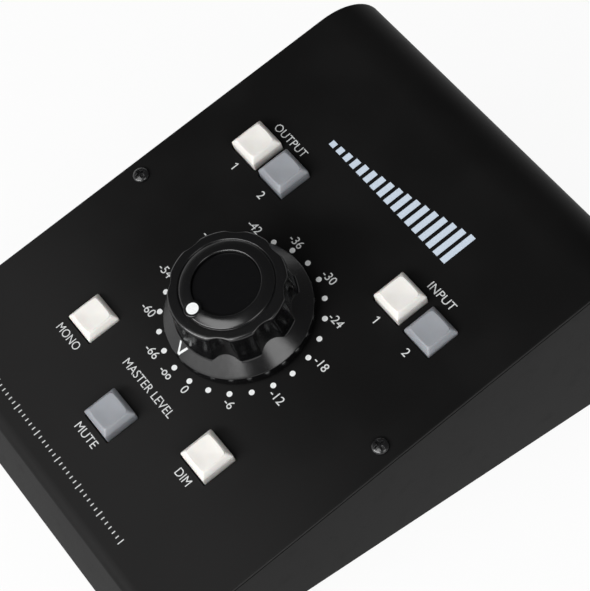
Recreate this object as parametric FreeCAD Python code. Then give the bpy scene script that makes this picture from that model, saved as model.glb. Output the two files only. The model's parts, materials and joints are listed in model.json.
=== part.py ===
"""Studio monitor controller: a wedge-shaped sheet metal case with a level knob and seven latching buttons.

Millimetres. +X is the user's right, -Y the user's side, +Z up. The origin is on the surface the feet
stand on, under the middle of the whole object. Pieces on the sloped panel are drawn in the panel's own
frame, X right, Y up the slope and Z out of the panel, with its origin on the knob's axis at the
panel's painted face, and are then turned into place.
"""

import FreeCAD
import Part
import math
import os

V = FreeCAD.Vector
X_AXIS = V(1, 0, 0)
Y_AXIS = V(0, 1, 0)
Z_AXIS = V(0, 0, 1)

# Case
case_width = 142.4
case_depth = 193.0
front_height = 29.4
panel_slope = 17.0
cover_sheet = 2.0
front_bend_radius = 4.5
rear_bend_radius = 22.4
tray_sheet = 1.5
tray_lip_height = 11.0
tray_lip_gap = 0.2
tab_width = 12.0
tab_length = 34.0

# Feet
foot_radius = 7.0
foot_height = 3.0
foot_inset_x = 15.0
foot_inset_y = 19.0

# Places on the panel, from the knob's axis
knob_up_slope = 82.7
output_columns = (-46.0, -31.0)
input_columns = (31.0, 46.0)
select_row = 41.5
mono_column = -32.4
dim_column = 32.4
function_row = -37.5
mute_row = -52.8
cover_screw_margin = 6.0
cover_screw_row = 5.5

# Screws: M3 throughout
screw_radius = 1.5
screw_hole_radius = 1.7
pan_head_radius = 2.9
pan_head_height = 1.8
recess_width = 0.75
recess_length = 3.1
recess_depth = 1.1
cover_screw_length = 8.0
nut_radius = 3.0
nut_height = 2.4

# Knob
skirt_radius = 24.8
skirt_gap = 1.0
skirt_rim_height = 5.8
skirt_rim_rounding = 0.5
skirt_wall = 2.0
body_foot_radius = 20.4
body_foot_height = 9.0
body_top_radius = 19.5
body_top_height = 23.0
body_top_rounding = 1.3
ring_outer_radius = 15.4
ring_height = 24.3
recess_radius = 11.2
recess_floor = 22.3
flute_sectors = 8
flute_radius = 6.3
flute_floor_radius = 18.3
pointer_angle = -90.0
dot_circle_radius = 13.1
dot_radius = 2.0
dot_pad_radius = 2.9
dot_depth = 1.2
dot_proud = 0.05
pointer_depth = 0.4
pointer_outer_radius = 24.3
pointer_inner_radius = 20.9
pointer_half_width = 1.75
pointer_stroke = 0.75
disc_thickness = 0.6
disc_clearance = 0.15
grub_angles = (-67.5, 67.5)
grub_height = 14.0
grub_radius = 2.0
grub_length = 5.0
grub_socket_radius = 0.9
grub_socket_depth = 2.0
bush_radius = 6.0
bush_foot = 7.5
bush_top = 20.0

# Rotary switch
shaft_radius = 3.0
shaft_top = 18.0
running_gap = 0.05
threaded_bush_radius = 4.75
threaded_bush_top = 6.0
panel_hole_gap = 0.15
switch_nut_flats = 14.0
switch_nut_height = 2.2
switch_washer_radius = 8.5
switch_washer_thickness = 0.6
index_radius = 16.0
index_height = 8.0
index_wall = 1.2
detent_wheel_radius = 11.0
detent_wheel_thickness = 3.0
detent_positions = 24
detent_notch_radius = 1.1
detent_ball_radius = 1.2
detent_leaf_width = 5.0
detent_leaf_height = 3.0
wafer_count = 4
wafer_radius = 17.0
wafer_thickness = 1.6
wafer_pitch = 6.2
wafer_bore_radius = 6.5
rotor_gap = 0.1
tie_rod_radius = 1.2
tie_rod_offset = 12.5
tie_nut_height = 2.0
tie_nut_radius = 2.4
spacer_radius = 2.2

# Push switches
cap_side = 12.3
cap_corner_radius = 0.5
cap_window_gap = 0.3
cap_out_height = 3.4
cap_chamfer_run = 1.25
cap_chamfer_rise = 1.9
cap_rim_bow = 0.55
cap_rim_corner = 1.6
cap_dish_radius = 42.0
cap_dish_depth = 0.35
cap_depth_below = 5.4
cap_wall = 1.2
button_travel = 3.0
latched_drop = 2.2
plunger_side = 3.2
plunger_into_cap = 4.0
collar_side = 7.0
collar_height = 1.6
housing_side = 11.6
housing_height = 10.0
housing_wall = 1.3
housing_top_gap = 0.6
spring_wire = 0.5
spring_radius = 2.9

# Circuit boards and wiring
board_thickness = 1.6
board_side_margin = 11.2
board_front_margin = 3.9
board_rear_margin = 8.7
board_hole_radius = 20.0
standoff_margin = 5.0
standoff_bore_depth = 6.0
standoff_rows = (-52.0, 27.0)
standoff_flats = 6.0
resistor_length = 3.2
resistor_width = 1.6
resistor_height = 0.7
resistor_circle = 23.0
jack_columns = (-48.0, -16.0, 16.0, 48.0)
jack_rows = (21.5, 44.0)
jack_body_side = 14.0
jack_body_length = 24.0
jack_bush_radius = 4.6
jack_bush_proud = 3.4
jack_bore_radius = 3.2
jack_nut_flats = 13.0
jack_nut_height = 2.2
jack_washer_radius = 7.2
jack_washer_thickness = 0.6
jack_board_side_margin = 11.2
jack_board_margin = 3.0
rear_screw_margin = 11.2
rear_screw_height = 6.5
ribbon_width = 30.0
ribbon_thickness = 0.9
ribbon_bend_radius = 5.0
ribbon_header_row = 30.0
header_depth = 8.0
header_height = 6.0
header_overhang = 2.0

# Derived places
slope = math.radians(panel_slope)
half_width = case_width / 2
case_bottom = foot_height
total_depth = case_depth + jack_bush_proud
front_face = -total_depth / 2
rear_face = front_face + case_depth
corner_height = case_bottom + front_height
knob_origin = V(
    0,
    front_face + knob_up_slope * math.cos(slope),
    corner_height + knob_up_slope * math.sin(slope),
)
panel_frame = FreeCAD.Placement(knob_origin, FreeCAD.Rotation(X_AXIS, panel_slope))
tray_floor = case_bottom + tray_sheet
wall_inner_x = half_width - tray_sheet
cover_screw_column = half_width - cover_screw_margin
rear_screw_column = half_width - rear_screw_margin
board_half_width = half_width - board_side_margin
jack_board_half_width = half_width - jack_board_side_margin
standoff_columns = (standoff_margin - board_half_width, board_half_width - standoff_margin)
board_front = mute_row - housing_side / 2 - board_front_margin
board_rear = select_row + housing_side / 2 + board_rear_margin
housing_top = -cover_sheet - (cap_depth_below - cover_sheet) - button_travel - housing_top_gap
board_top = housing_top - housing_height
board_bottom = board_top - board_thickness
index_top = -cover_sheet
index_bottom = index_top - index_height
stack_bottom = index_bottom - wafer_count * wafer_pitch
jack_inner_face = rear_face - cover_sheet
jack_board_face = jack_inner_face - jack_body_length

BUTTONS = {
    "output_1": (output_columns[0], select_row, 0.0),
    "output_2": (output_columns[1], select_row, 0.0),
    "input_1": (input_columns[0], select_row, 0.0),
    "input_2": (input_columns[1], select_row, latched_drop),
    "mono": (mono_column, function_row, latched_drop),
    "dim": (dim_column, function_row, 0.0),
    "mute": (0.0, mute_row, 0.0),
}


# Shape helpers

def on_panel(shape):
    """Turn a shape drawn in the panel's frame into the object's frame."""
    return shape.transformed(panel_frame.toMatrix())


def cylinder(radius, low, high, x=0.0, y=0.0):
    """Upright cylinder between two heights."""
    return Part.makeCylinder(radius, high - low, V(x, y, low), Z_AXIS)


def tube(outer, inner, low, high, x=0.0, y=0.0):
    """Upright ring between two heights."""
    return cylinder(outer, low, high, x, y).cut(cylinder(inner, low - 1, high + 1, x, y))


def block(size_x, size_y, low, high, x=0.0, y=0.0):
    """Upright block centred on a point."""
    return Part.makeBox(size_x, size_y, high - low, V(x - size_x / 2, y - size_y / 2, low))


def hexagon(flats, low, high, x=0.0, y=0.0):
    """Upright hexagonal prism, measured across its flats."""
    corner = flats / math.sqrt(3)
    points = []
    for k in range(7):
        turn = math.radians(60 * k)
        points.append(V(x + corner * math.cos(turn), y + corner * math.sin(turn), low))
    return Part.Face(Part.makePolygon(points)).extrude(V(0, 0, high - low))


def toward_rear(shape):
    """Lay an upright shape down so that its Z axis points along +Y and its Y axis points down."""
    turned = shape.copy()
    turned.rotate(V(0, 0, 0), X_AXIS, -90)
    return turned


def side_profile(inset, bottom):
    """Closed face in the YZ plane: the case's side outline, moved inwards by inset, open to bottom."""
    normal = V(0, -math.sin(slope), math.cos(slope))
    uphill = V(0, math.cos(slope), math.sin(slope))

    def bend_centre(y, radius):
        height = corner_height + (y - front_face) * math.tan(slope) - radius / math.cos(slope)
        return V(0, y, height)

    front = bend_centre(front_face + front_bend_radius, front_bend_radius)
    rear = bend_centre(rear_face - rear_bend_radius, rear_bend_radius)
    front_radius = front_bend_radius - inset
    rear_radius = rear_bend_radius - inset
    between = V(0, -1, 0) + normal
    between.normalize()
    across = V(0, 1, 0) + normal
    across.normalize()
    a = V(0, front_face + inset, bottom)
    b = front - V(0, front_radius, 0)
    c = front + normal * front_radius
    d = rear + normal * rear_radius
    e = rear + V(0, rear_radius, 0)
    f = V(0, rear_face - inset, bottom)
    edges = [
        Part.LineSegment(a, b).toShape(),
        Part.Arc(b, front + between * front_radius, c).toShape(),
        Part.LineSegment(c, d).toShape(),
        Part.Arc(d, rear + across * rear_radius, e).toShape(),
        Part.LineSegment(e, f).toShape(),
        Part.LineSegment(f, a).toShape(),
    ]
    assert uphill.dot(d - c) > 0, "the two bends leave no flat panel between them"
    return Part.Face(Part.Wire(edges))


def side_solid(inset, bottom, left, right):
    """The side outline pulled from one X to another."""
    face = side_profile(inset, bottom)
    face.translate(V(left, 0, 0))
    return face.extrude(V(right - left, 0, 0))


def pan_screw(length, top=pan_head_height):
    """Cross-recess pan-head screw along -Z; its head's underside is at zero."""
    head = cylinder(pan_head_radius, 0, pan_head_height)
    head = head.makeFillet(pan_head_height * 0.45, [head.Edges[0]])
    shank = cylinder(screw_radius, -length, 0)
    screw = head.fuse(shank).removeSplitter()
    for width, depth in ((recess_length, recess_width), (recess_width, recess_length)):
        screw = screw.cut(block(width, depth, top - recess_depth, top + 1))
    return screw


def group(shapes):
    """Separate solids that share one node."""
    return Part.makeCompound(shapes)


# Case

def make_top_cover():
    """Bent sheet: front wall, sloped panel, rear bend and rear wall, with its holes."""
    cover = side_solid(0, case_bottom, -half_width, half_width)
    cover = cover.cut(side_solid(cover_sheet, case_bottom - 1, -half_width - 1, half_width + 1))
    below = -cover_sheet - 1
    holes = [cylinder(threaded_bush_radius + panel_hole_gap, below, 1)]
    for column, row, _ in BUTTONS.values():
        window = cap_side + 2 * cap_window_gap
        holes.append(block(window, window, below, 1, column, row))
    for side in (-1, 1):
        holes.append(cylinder(screw_hole_radius, below, 1, side * cover_screw_column, cover_screw_row))
    cover = cover.cut(on_panel(group(holes)))
    through = rear_face - cover_sheet - 1
    rear_holes = []
    for column in jack_columns:
        for row in jack_rows:
            hole = Part.makeCylinder(
                jack_bush_radius + panel_hole_gap, cover_sheet + 2, V(column, through, case_bottom + row), Y_AXIS
            )
            rear_holes.append(hole)
    for side in (-1, 1):
        place = V(side * rear_screw_column, through, case_bottom + rear_screw_height)
        rear_holes.append(Part.makeCylinder(screw_hole_radius, cover_sheet + 2, place, Y_AXIS))
    return cover.cut(group(rear_holes))


def make_base_tray():
    """Bottom with two side walls under the cover's edges, two screw tabs and two upturned lips."""
    inner = side_solid(cover_sheet, case_bottom, -half_width, half_width)
    depth = rear_face - front_face
    room = Part.makeBox(
        2 * wall_inner_x, depth + 2, corner_height + depth, V(-wall_inner_x, front_face - 1, tray_floor)
    )
    tray = inner.cut(room)
    lip_inset = cover_sheet + tray_lip_gap
    for front in (True, False):
        y = front_face + lip_inset if front else rear_face - lip_inset - tray_sheet
        lip = Part.makeBox(2 * wall_inner_x, tray_sheet, tray_lip_height, V(-wall_inner_x, y, case_bottom))
        tray = tray.fuse(lip)
    gap_strips = []
    for y in (front_face + cover_sheet, rear_face - lip_inset):
        gap_strips.append(
            Part.makeBox(2 * wall_inner_x, tray_lip_gap, tray_lip_height, V(-wall_inner_x, y, case_bottom))
        )
    tray = tray.cut(group(gap_strips))
    for side in (-1, 1):
        centre = side * (wall_inner_x - tab_width / 2)
        tab = block(tab_width, tab_length, -cover_sheet - tray_sheet, -cover_sheet, centre, cover_screw_row)
        tray = tray.fuse(on_panel(tab))
        column = side * cover_screw_column
        hole = cylinder(screw_radius + 0.02, -cover_sheet - tray_sheet - 1, 0, column, cover_screw_row)
        tray = tray.cut(on_panel(hole))
    for x, y in foot_places():
        tray = tray.cut(cylinder(screw_hole_radius, case_bottom - 1, tray_floor + 1, x, y))
    lip_y = rear_face - lip_inset - tray_sheet
    for side in (-1, 1):
        place = V(side * rear_screw_column, lip_y - 1, case_bottom + rear_screw_height)
        tray = tray.cut(Part.makeCylinder(screw_radius + 0.02, tray_sheet + 2, place, Y_AXIS))
    return tray.removeSplitter()


def foot_places():
    """The four foot centres."""
    places = []
    for side in (-1, 1):
        for y in (front_face + foot_inset_y, rear_face - foot_inset_y):
            places.append((side * (half_width - foot_inset_x), y))
    return places


def make_rubber_feet():
    """Four round feet, each with a pocket for its screw's head."""
    feet = []
    pocket_floor = foot_height - 1.0
    for x, y in foot_places():
        foot = cylinder(foot_radius, 0, foot_height, x, y)
        foot = foot.makeFillet(0.6, [edge for edge in foot.Edges if edge.BoundBox.ZMax < 0.01])
        foot = foot.cut(cylinder(pan_head_radius + 0.3, -1, pocket_floor, x, y))
        feet.append(foot.cut(cylinder(screw_hole_radius, -1, foot_height + 1, x, y)))
    return group(feet)


def make_foot_screws():
    """Screws from below through the feet into nuts on the tray's floor."""
    screws = []
    for x, y in foot_places():
        screw = pan_screw(tray_sheet + 1.0 + nut_height + 0.6)
        screw.rotate(V(0, 0, 0), X_AXIS, 180)
        screw.translate(V(x, y, foot_height - 1.0))
        screws.append(screw)
    return group(screws)


def make_foot_nuts():
    """Hexagonal nuts on the tray's floor."""
    nuts = []
    for x, y in foot_places():
        nut = hexagon(2 * nut_radius, tray_floor, tray_floor + nut_height, x, y)
        nuts.append(nut.cut(cylinder(screw_radius + 0.02, tray_floor - 1, tray_floor + nut_height + 1, x, y)))
    return group(nuts)


def make_cover_screws():
    """The two screws that show on the panel."""
    screws = []
    for side in (-1, 1):
        screw = pan_screw(cover_screw_length)
        screw.translate(V(side * cover_screw_column, cover_screw_row, 0))
        screws.append(on_panel(screw))
    return group(screws)


def make_cover_nuts():
    """Clinch nuts under the tray's tabs."""
    nuts = []
    top = -cover_sheet - tray_sheet
    for side in (-1, 1):
        column = side * cover_screw_column
        nuts.append(on_panel(tube(nut_radius, screw_radius + 0.02, top - nut_height, top, column, cover_screw_row)))
    return group(nuts)


def make_rear_screws():
    """Two screws through the rear wall into the tray's rear lip."""
    screws = []
    for side in (-1, 1):
        screw = toward_rear(pan_screw(cover_sheet + tray_lip_gap + tray_sheet + nut_height + 0.5))
        screw.translate(V(side * rear_screw_column, rear_face, case_bottom + rear_screw_height))
        screws.append(screw)
    return group(screws)


def make_rear_nuts():
    """Clinch nuts on the inside of the rear lip."""
    nuts = []
    face = rear_face - cover_sheet - tray_lip_gap - tray_sheet
    for side in (-1, 1):
        nut = toward_rear(tube(nut_radius, screw_radius + 0.02, -nut_height, 0))
        nut.translate(V(side * rear_screw_column, face, case_bottom + rear_screw_height))
        nuts.append(nut)
    return group(nuts)


# Knob, drawn in the panel's frame

def at_angle(radius, angle):
    """Point on the panel at a radius and an angle from +X."""
    turn = math.radians(angle)
    return V(radius * math.cos(turn), radius * math.sin(turn), 0)


def knob_outline(drop):
    """Turned body of the knob's outside, lowered by drop, as a solid."""
    rim = skirt_rim_rounding
    top = body_top_rounding
    corner = 1 - math.sqrt(0.5)
    ring_middle = (ring_outer_radius + recess_radius) / 2
    points = [
        V(0, 0, skirt_gap),
        V(skirt_radius, 0, skirt_gap),
        V(skirt_radius, 0, skirt_rim_height - rim),
        V(skirt_radius - rim * corner, 0, skirt_rim_height - rim * corner),
        V(skirt_radius - rim, 0, skirt_rim_height),
        V(body_foot_radius, 0, body_foot_height),
        V(body_top_radius, 0, body_top_height - top),
        V(body_top_radius - top * corner, 0, body_top_height - top * corner),
        V(body_top_radius - top, 0, body_top_height),
        V(ring_outer_radius, 0, body_top_height),
        V(ring_middle, 0, ring_height),
        V(recess_radius, 0, ring_height - 0.2),
        V(0, 0, ring_height - 0.2),
    ]
    points = [V(p.x, 0, p.z if k in (0, 1) else p.z - drop) for k, p in enumerate(points)]
    arcs = {2: 3, 6: 7, 9: 10}
    edges = []
    k = 0
    while k < len(points) - 1:
        if k in arcs:
            edges.append(Part.Arc(points[k], points[k + 1], points[k + 2]).toShape())
            k += 2
        else:
            edges.append(Part.LineSegment(points[k], points[k + 1]).toShape())
            k += 1
    edges.append(Part.LineSegment(points[-1], points[0]).toShape())
    return Part.Face(Part.Wire(edges)).revolve(V(0, 0, 0), Z_AXIS, 360)


def dot_pad():
    """Round pad that the index dot sits in, on the edge of the recess."""
    place = at_angle(dot_circle_radius, pointer_angle)
    return cylinder(dot_pad_radius, recess_floor - 1, ring_height, place.x, place.y)


def pointer_prism():
    """Upright V-shaped prism that points out to the skirt's rim."""
    half = pointer_half_width
    stroke = pointer_stroke
    outline = [
        V(-half - stroke / 2, 0, 0),
        V(-half + stroke / 2, 0, 0),
        V(0, -(pointer_outer_radius - pointer_inner_radius) + stroke * 1.6, 0),
        V(half - stroke / 2, 0, 0),
        V(half + stroke / 2, 0, 0),
        V(stroke * 0.35, -(pointer_outer_radius - pointer_inner_radius), 0),
        V(-stroke * 0.35, -(pointer_outer_radius - pointer_inner_radius), 0),
        V(-half - stroke / 2, 0, 0),
    ]
    prism = Part.Face(Part.makePolygon(outline)).extrude(V(0, 0, ring_height))
    prism.translate(V(0, -pointer_inner_radius, 0))
    prism.rotate(V(0, 0, 0), Z_AXIS, pointer_angle + 90)
    return prism


def pointer_inlay():
    """White V let into the skirt's sloping face."""
    skin = knob_outline(0).cut(knob_outline(pointer_depth))
    return skin.common(pointer_prism())


def skirt_cone():
    """Solid under the skirt's sloping face, carried on inwards so that the flutes end on it."""
    rim = skirt_radius - skirt_rim_rounding
    steepness = (body_foot_height - skirt_rim_height) / (rim - body_foot_radius)
    return Part.makeCone(rim, 0, rim * steepness, V(0, 0, skirt_rim_height), Z_AXIS)


def make_knob():
    """Skirted and fluted knob with a raised ring, a round recess and a hollow underside."""
    knob = knob_outline(0)
    knob = knob.cut(cylinder(recess_radius, recess_floor, ring_height + 1))
    knob = knob.fuse(dot_pad())
    flutes = []
    for k in range(1, flute_sectors):
        place = at_angle(flute_floor_radius + flute_radius, pointer_angle + 360 / flute_sectors * k)
        flutes.append(cylinder(flute_radius, skirt_rim_height, ring_height + 1, place.x, place.y).cut(skirt_cone()))
    knob = knob.cut(group(flutes))
    hollow = cylinder(skirt_radius - skirt_wall, skirt_gap - 1, skirt_rim_height - skirt_wall)
    well = cylinder(switch_washer_radius + 1.5, skirt_gap - 1, bush_foot)
    bore = cylinder(bush_radius, bush_foot - 1, bush_top)
    knob = knob.cut(hollow).cut(well).cut(bore)
    dot_place = at_angle(dot_circle_radius, pointer_angle)
    knob = knob.cut(cylinder(dot_radius, ring_height - dot_depth, ring_height + 1, dot_place.x, dot_place.y))
    for angle in grub_angles:
        knob = knob.cut(grub_cylinder(grub_radius, 0, skirt_radius, angle))
    return on_panel(knob.cut(pointer_inlay()))


def grub_cylinder(radius, near, far, angle):
    """Cylinder square to the knob's axis, at the grub screws' height."""
    start = at_angle(near, angle) + V(0, 0, grub_height)
    return Part.makeCylinder(radius, far - near, start, at_angle(1, angle))


def make_knob_set_screws():
    """Grub screws from the knob's side, through the brass bush, onto the shaft."""
    screws = []
    for angle in grub_angles:
        near = shaft_radius
        tip = grub_cylinder(grub_radius - 0.05, near, body_foot_radius - grub_length, angle)
        head_end = body_foot_radius - grub_length
        socket = grub_cylinder(grub_socket_radius, head_end - grub_socket_depth, head_end + 1, angle)
        screws.append(on_panel(tip.cut(socket).cut(cylinder(shaft_radius, 0, ring_height))))
    return group(screws)


def make_knob_bush():
    """Brass bush moulded into the knob."""
    bush = tube(bush_radius, shaft_radius, bush_foot, bush_top)
    for angle in grub_angles:
        bush = bush.cut(grub_cylinder(grub_radius, 0, skirt_radius, angle))
    return on_panel(bush)


def make_knob_index_dot():
    """White dot set into its pad."""
    place = at_angle(dot_circle_radius, pointer_angle)
    return on_panel(cylinder(dot_radius, ring_height - dot_depth, ring_height + dot_proud, place.x, place.y))


def make_knob_cap_disc():
    """Plain disc on the floor of the recess."""
    disc = cylinder(recess_radius - disc_clearance, recess_floor, recess_floor + disc_thickness)
    place = at_angle(dot_circle_radius, pointer_angle)
    pad = cylinder(dot_pad_radius + disc_clearance, recess_floor - 1, ring_height, place.x, place.y)
    return on_panel(disc.cut(pad))


# Rotary switch, drawn in the panel's frame

def tie_rod_places():
    """The two rods that hold the wafers."""
    return ((-tie_rod_offset, 0), (tie_rod_offset, 0))


def make_switch_bush():
    """Threaded bush that stands through the panel; the shaft runs in it."""
    return on_panel(tube(threaded_bush_radius, shaft_radius + running_gap, index_top - index_wall, threaded_bush_top))


def make_switch_housing():
    """Round index housing against the panel's underside."""
    housing = cylinder(index_radius, index_bottom, index_top)
    housing = housing.cut(cylinder(index_radius - index_wall, index_bottom + index_wall, index_top - index_wall))
    housing = housing.cut(cylinder(threaded_bush_radius, index_top - index_wall - 1, index_top + 1))
    housing = housing.cut(cylinder(shaft_radius + 0.3, index_bottom - 1, index_bottom + index_wall + 1))
    for x, y in tie_rod_places():
        housing = housing.cut(cylinder(tie_rod_radius, index_bottom - 1, index_bottom + index_wall + 1, x, y))
    return on_panel(housing)


def make_switch_nut():
    """Hexagonal nut on the bush, hidden under the knob."""
    low = switch_washer_thickness
    nut = hexagon(switch_nut_flats, low, low + switch_nut_height)
    return on_panel(nut.cut(cylinder(threaded_bush_radius, 0, low + switch_nut_height + 1)))


def make_switch_washer():
    """Washer between the nut and the panel."""
    return on_panel(tube(switch_washer_radius, threaded_bush_radius, 0, switch_washer_thickness))


def make_switch_shaft():
    """Shaft from the lowest wafer up into the knob's bush."""
    return on_panel(cylinder(shaft_radius, stack_bottom, shaft_top))


def detent_level():
    """Middle height of the detent wheel."""
    return (index_top + index_bottom) / 2


def make_detent_wheel():
    """Notched wheel on the shaft, one notch for each position."""
    middle = detent_level()
    low = middle - detent_wheel_thickness / 2
    wheel = tube(detent_wheel_radius, shaft_radius, low, low + detent_wheel_thickness)
    notches = []
    for k in range(detent_positions):
        place = at_angle(detent_wheel_radius + 0.3, pointer_angle + 360 / detent_positions * k)
        notches.append(cylinder(detent_notch_radius, low - 1, low + detent_wheel_thickness + 1, place.x, place.y))
    return on_panel(wheel.cut(group(notches)))


def make_detent_ball():
    """Steel ball that drops into the notches."""
    radius = detent_wheel_radius + detent_ball_radius + 0.1
    return on_panel(Part.makeSphere(detent_ball_radius, at_angle(radius, 90) + V(0, 0, detent_level())))


def make_detent_spring():
    """Leaf spring that presses the ball in."""
    start = detent_wheel_radius + 2 * detent_ball_radius + 0.1
    depth = index_radius - index_wall - start
    low = detent_level() - detent_leaf_height / 2
    leaf = block(detent_leaf_width, depth, low, low + detent_leaf_height, 0, start + depth / 2)
    room = cylinder(index_radius - index_wall, index_bottom, index_top)
    return on_panel(leaf.common(room))


def wafer_bottom(k):
    """Lower face of wafer k, counted down from the housing."""
    return index_bottom - (k + 1) * wafer_pitch + (wafer_pitch - wafer_thickness) / 2


def make_wafer(k):
    """Round contact wafer with a ring of contacts, held by the tie rods."""
    low = wafer_bottom(k)
    high = low + wafer_thickness
    wafer = tube(wafer_radius, wafer_bore_radius, low, high)
    pins = []
    for n in range(detent_positions):
        angle = pointer_angle + 360 / detent_positions * n
        place = at_angle(wafer_radius - 1.2, angle)
        pins.append(cylinder(0.45, low - 0.8, high + 0.8, place.x, place.y))
    wafer = wafer.fuse(pins)
    for x, y in tie_rod_places():
        wafer = wafer.cut(cylinder(tie_rod_radius, low - 1, high + 1, x, y))
    return on_panel(wafer)


def make_wafer_rotors():
    """Rotating contact discs on the shaft, one inside each wafer."""
    rotors = []
    for k in range(wafer_count):
        low = wafer_bottom(k)
        rotors.append(on_panel(tube(wafer_bore_radius - rotor_gap, shaft_radius, low, low + wafer_thickness)))
    return group(rotors)


def make_wafer_spacers():
    """Sleeves on the tie rods between the wafers."""
    sleeves = []
    for x, y in tie_rod_places():
        top = index_bottom
        for k in range(wafer_count):
            low = wafer_bottom(k) + wafer_thickness
            sleeves.append(on_panel(tube(spacer_radius, tie_rod_radius, low, top, x, y)))
            top = wafer_bottom(k)
    return group(sleeves)


def make_tie_rods():
    """Rods from the index housing down through the wafers."""
    rods = []
    low = wafer_bottom(wafer_count - 1) - tie_nut_height - 0.5
    for x, y in tie_rod_places():
        rods.append(on_panel(cylinder(tie_rod_radius, low, index_bottom + index_wall, x, y)))
    return group(rods)


def make_tie_rod_nuts():
    """Nuts under the last wafer."""
    nuts = []
    top = wafer_bottom(wafer_count - 1)
    for x, y in tie_rod_places():
        nut = hexagon(2 * tie_nut_radius, top - tie_nut_height, top, x, y)
        nuts.append(on_panel(nut.cut(cylinder(tie_rod_radius, top - tie_nut_height - 1, top + 1, x, y))))
    return group(nuts)


# Push switches, drawn in the panel's frame

def rounded_square(side, corner, height):
    """Square wire with rounded corners: four sides and four corner arcs."""
    return bowed_square(side, corner, 0.0, height)


def bowed_square(side, corner, bow, height):
    """Square wire whose sides bow outwards by bow and meet in rounded corners."""
    half = side / 2
    reach = half - corner
    diagonal = reach + corner * math.sqrt(0.5)
    edges = []
    for k in range(4):
        turn = FreeCAD.Rotation(Z_AXIS, 90 * k)
        start = turn.multVec(V(half - bow, -reach, height))
        middle = turn.multVec(V(half, 0, height))
        end = turn.multVec(V(half - bow, reach, height))
        pull = bow * math.sqrt(0.5)
        corner_middle = turn.multVec(V(diagonal - pull, diagonal - pull, height))
        following = turn.multVec(V(reach, half - bow, height))
        if bow > 0:
            edges.append(Part.Arc(start, middle, end).toShape())
        else:
            edges.append(Part.LineSegment(start, end).toShape())
        edges.append(Part.Arc(end, corner_middle, following).toShape())
    return Part.Wire(edges)


def make_cap(column, row, drop):
    """Square key cap: straight skirt, wide chamfer, bowed rim and shallow dish, hollow below."""
    foot = -cap_depth_below
    shoulder = cap_out_height
    top = shoulder + cap_chamfer_rise
    skirt = Part.Face(rounded_square(cap_side, cap_corner_radius, foot)).extrude(V(0, 0, shoulder - foot))
    rim_side = cap_side - 2 * cap_chamfer_run
    lower = rounded_square(cap_side, cap_corner_radius, shoulder)
    upper = bowed_square(rim_side, cap_rim_corner, cap_rim_bow, top)
    crown = Part.makeLoft([lower, upper], True, True)
    cap = skirt.fuse(crown)
    dish = Part.makeSphere(cap_dish_radius, V(0, 0, top - cap_dish_depth + cap_dish_radius))
    cap = cap.cut(dish)
    inside = cap_side - 2 * cap_wall
    cap = cap.cut(block(inside, inside, foot - 1, shoulder - cap_wall))
    socket_top = foot + plunger_into_cap
    boss_side = plunger_side + 2 * cap_wall
    boss = block(boss_side, boss_side, foot, shoulder - cap_wall)
    cap = cap.fuse(boss.cut(block(plunger_side, plunger_side, foot - 1, socket_top)))
    cap.translate(V(column, row, -drop))
    return on_panel(cap)


def housing_floor():
    """Height of the floor inside a switch housing."""
    return board_top + housing_wall


def make_plunger(column, row, drop):
    """Square stem between cap and switch, with a collar that the housing keeps in."""
    collar_top = housing_top - housing_wall
    stem = block(plunger_side, plunger_side, collar_top - collar_height, -cap_depth_below + plunger_into_cap)
    collar = block(collar_side, collar_side, collar_top - collar_height, collar_top)
    plunger = stem.fuse(collar).removeSplitter()
    plunger.translate(V(column, row, -drop))
    return on_panel(plunger)


def make_button_housings():
    """Seven square switch housings on the control board, each with a guide for its plunger."""
    housings = []
    guide = plunger_side + 2 * running_gap
    inside = housing_side - 2 * housing_wall
    for column, row, _ in BUTTONS.values():
        housing = block(housing_side, housing_side, board_top, housing_top, column, row)
        room = block(inside, inside, housing_floor(), housing_top - housing_wall, column, row)
        opening = block(guide, guide, housing_top - housing_wall - 1, housing_top + 1, column, row)
        housings.append(on_panel(housing.cut(room).cut(opening)))
    return group(housings)


def make_button_springs():
    """Return springs under the plungers' collars, fully pressed, each as the plain sleeve its wire fills."""
    low = housing_floor()
    inner = spring_radius - spring_wire / 2
    springs = []
    for column, row, _ in BUTTONS.values():
        springs.append(on_panel(tube(inner + spring_wire, inner, low, low + spring_free_room(), column, row)))
    return group(springs)


def spring_free_room():
    """Height left under a fully pressed collar."""
    collar_bottom = housing_top - housing_wall - collar_height - button_travel
    return collar_bottom - housing_floor() - 0.3


# Boards and wiring

def board_holes(low, high):
    """Openings in the control board for the rotary switch and the standoff screws."""
    holes = [cylinder(board_hole_radius, low, high)]
    for x in standoff_columns:
        for y in standoff_rows:
            holes.append(cylinder(screw_hole_radius, low, high, x, y))
    return group(holes)


def make_control_board():
    """Board under the panel that carries the push switches."""
    length = board_rear - board_front
    board = block(2 * board_half_width, length, board_bottom, board_top, 0, board_front + length / 2)
    return on_panel(board.cut(board_holes(board_bottom - 1, board_top + 1)))


def make_level_resistors():
    """Resistors of the stepped attenuator, round the rotary switch."""
    parts = []
    for k in range(detent_positions - 1):
        angle = pointer_angle + 360 / detent_positions * (k + 0.5)
        part = block(resistor_length, resistor_width, board_top, board_top + resistor_height)
        part.translate(V(resistor_circle, 0, 0))
        part.rotate(V(0, 0, 0), Z_AXIS, angle)
        parts.append(on_panel(part))
    return group(parts)


def make_board_standoffs():
    """Hexagonal standoffs welded under the panel."""
    parts = []
    for x in standoff_columns:
        for y in standoff_rows:
            pillar = hexagon(standoff_flats, board_top, -cover_sheet, x, y)
            bore = cylinder(screw_radius + 0.02, board_top - 1, board_top + standoff_bore_depth, x, y)
            parts.append(on_panel(pillar.cut(bore)))
    return group(parts)


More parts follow.
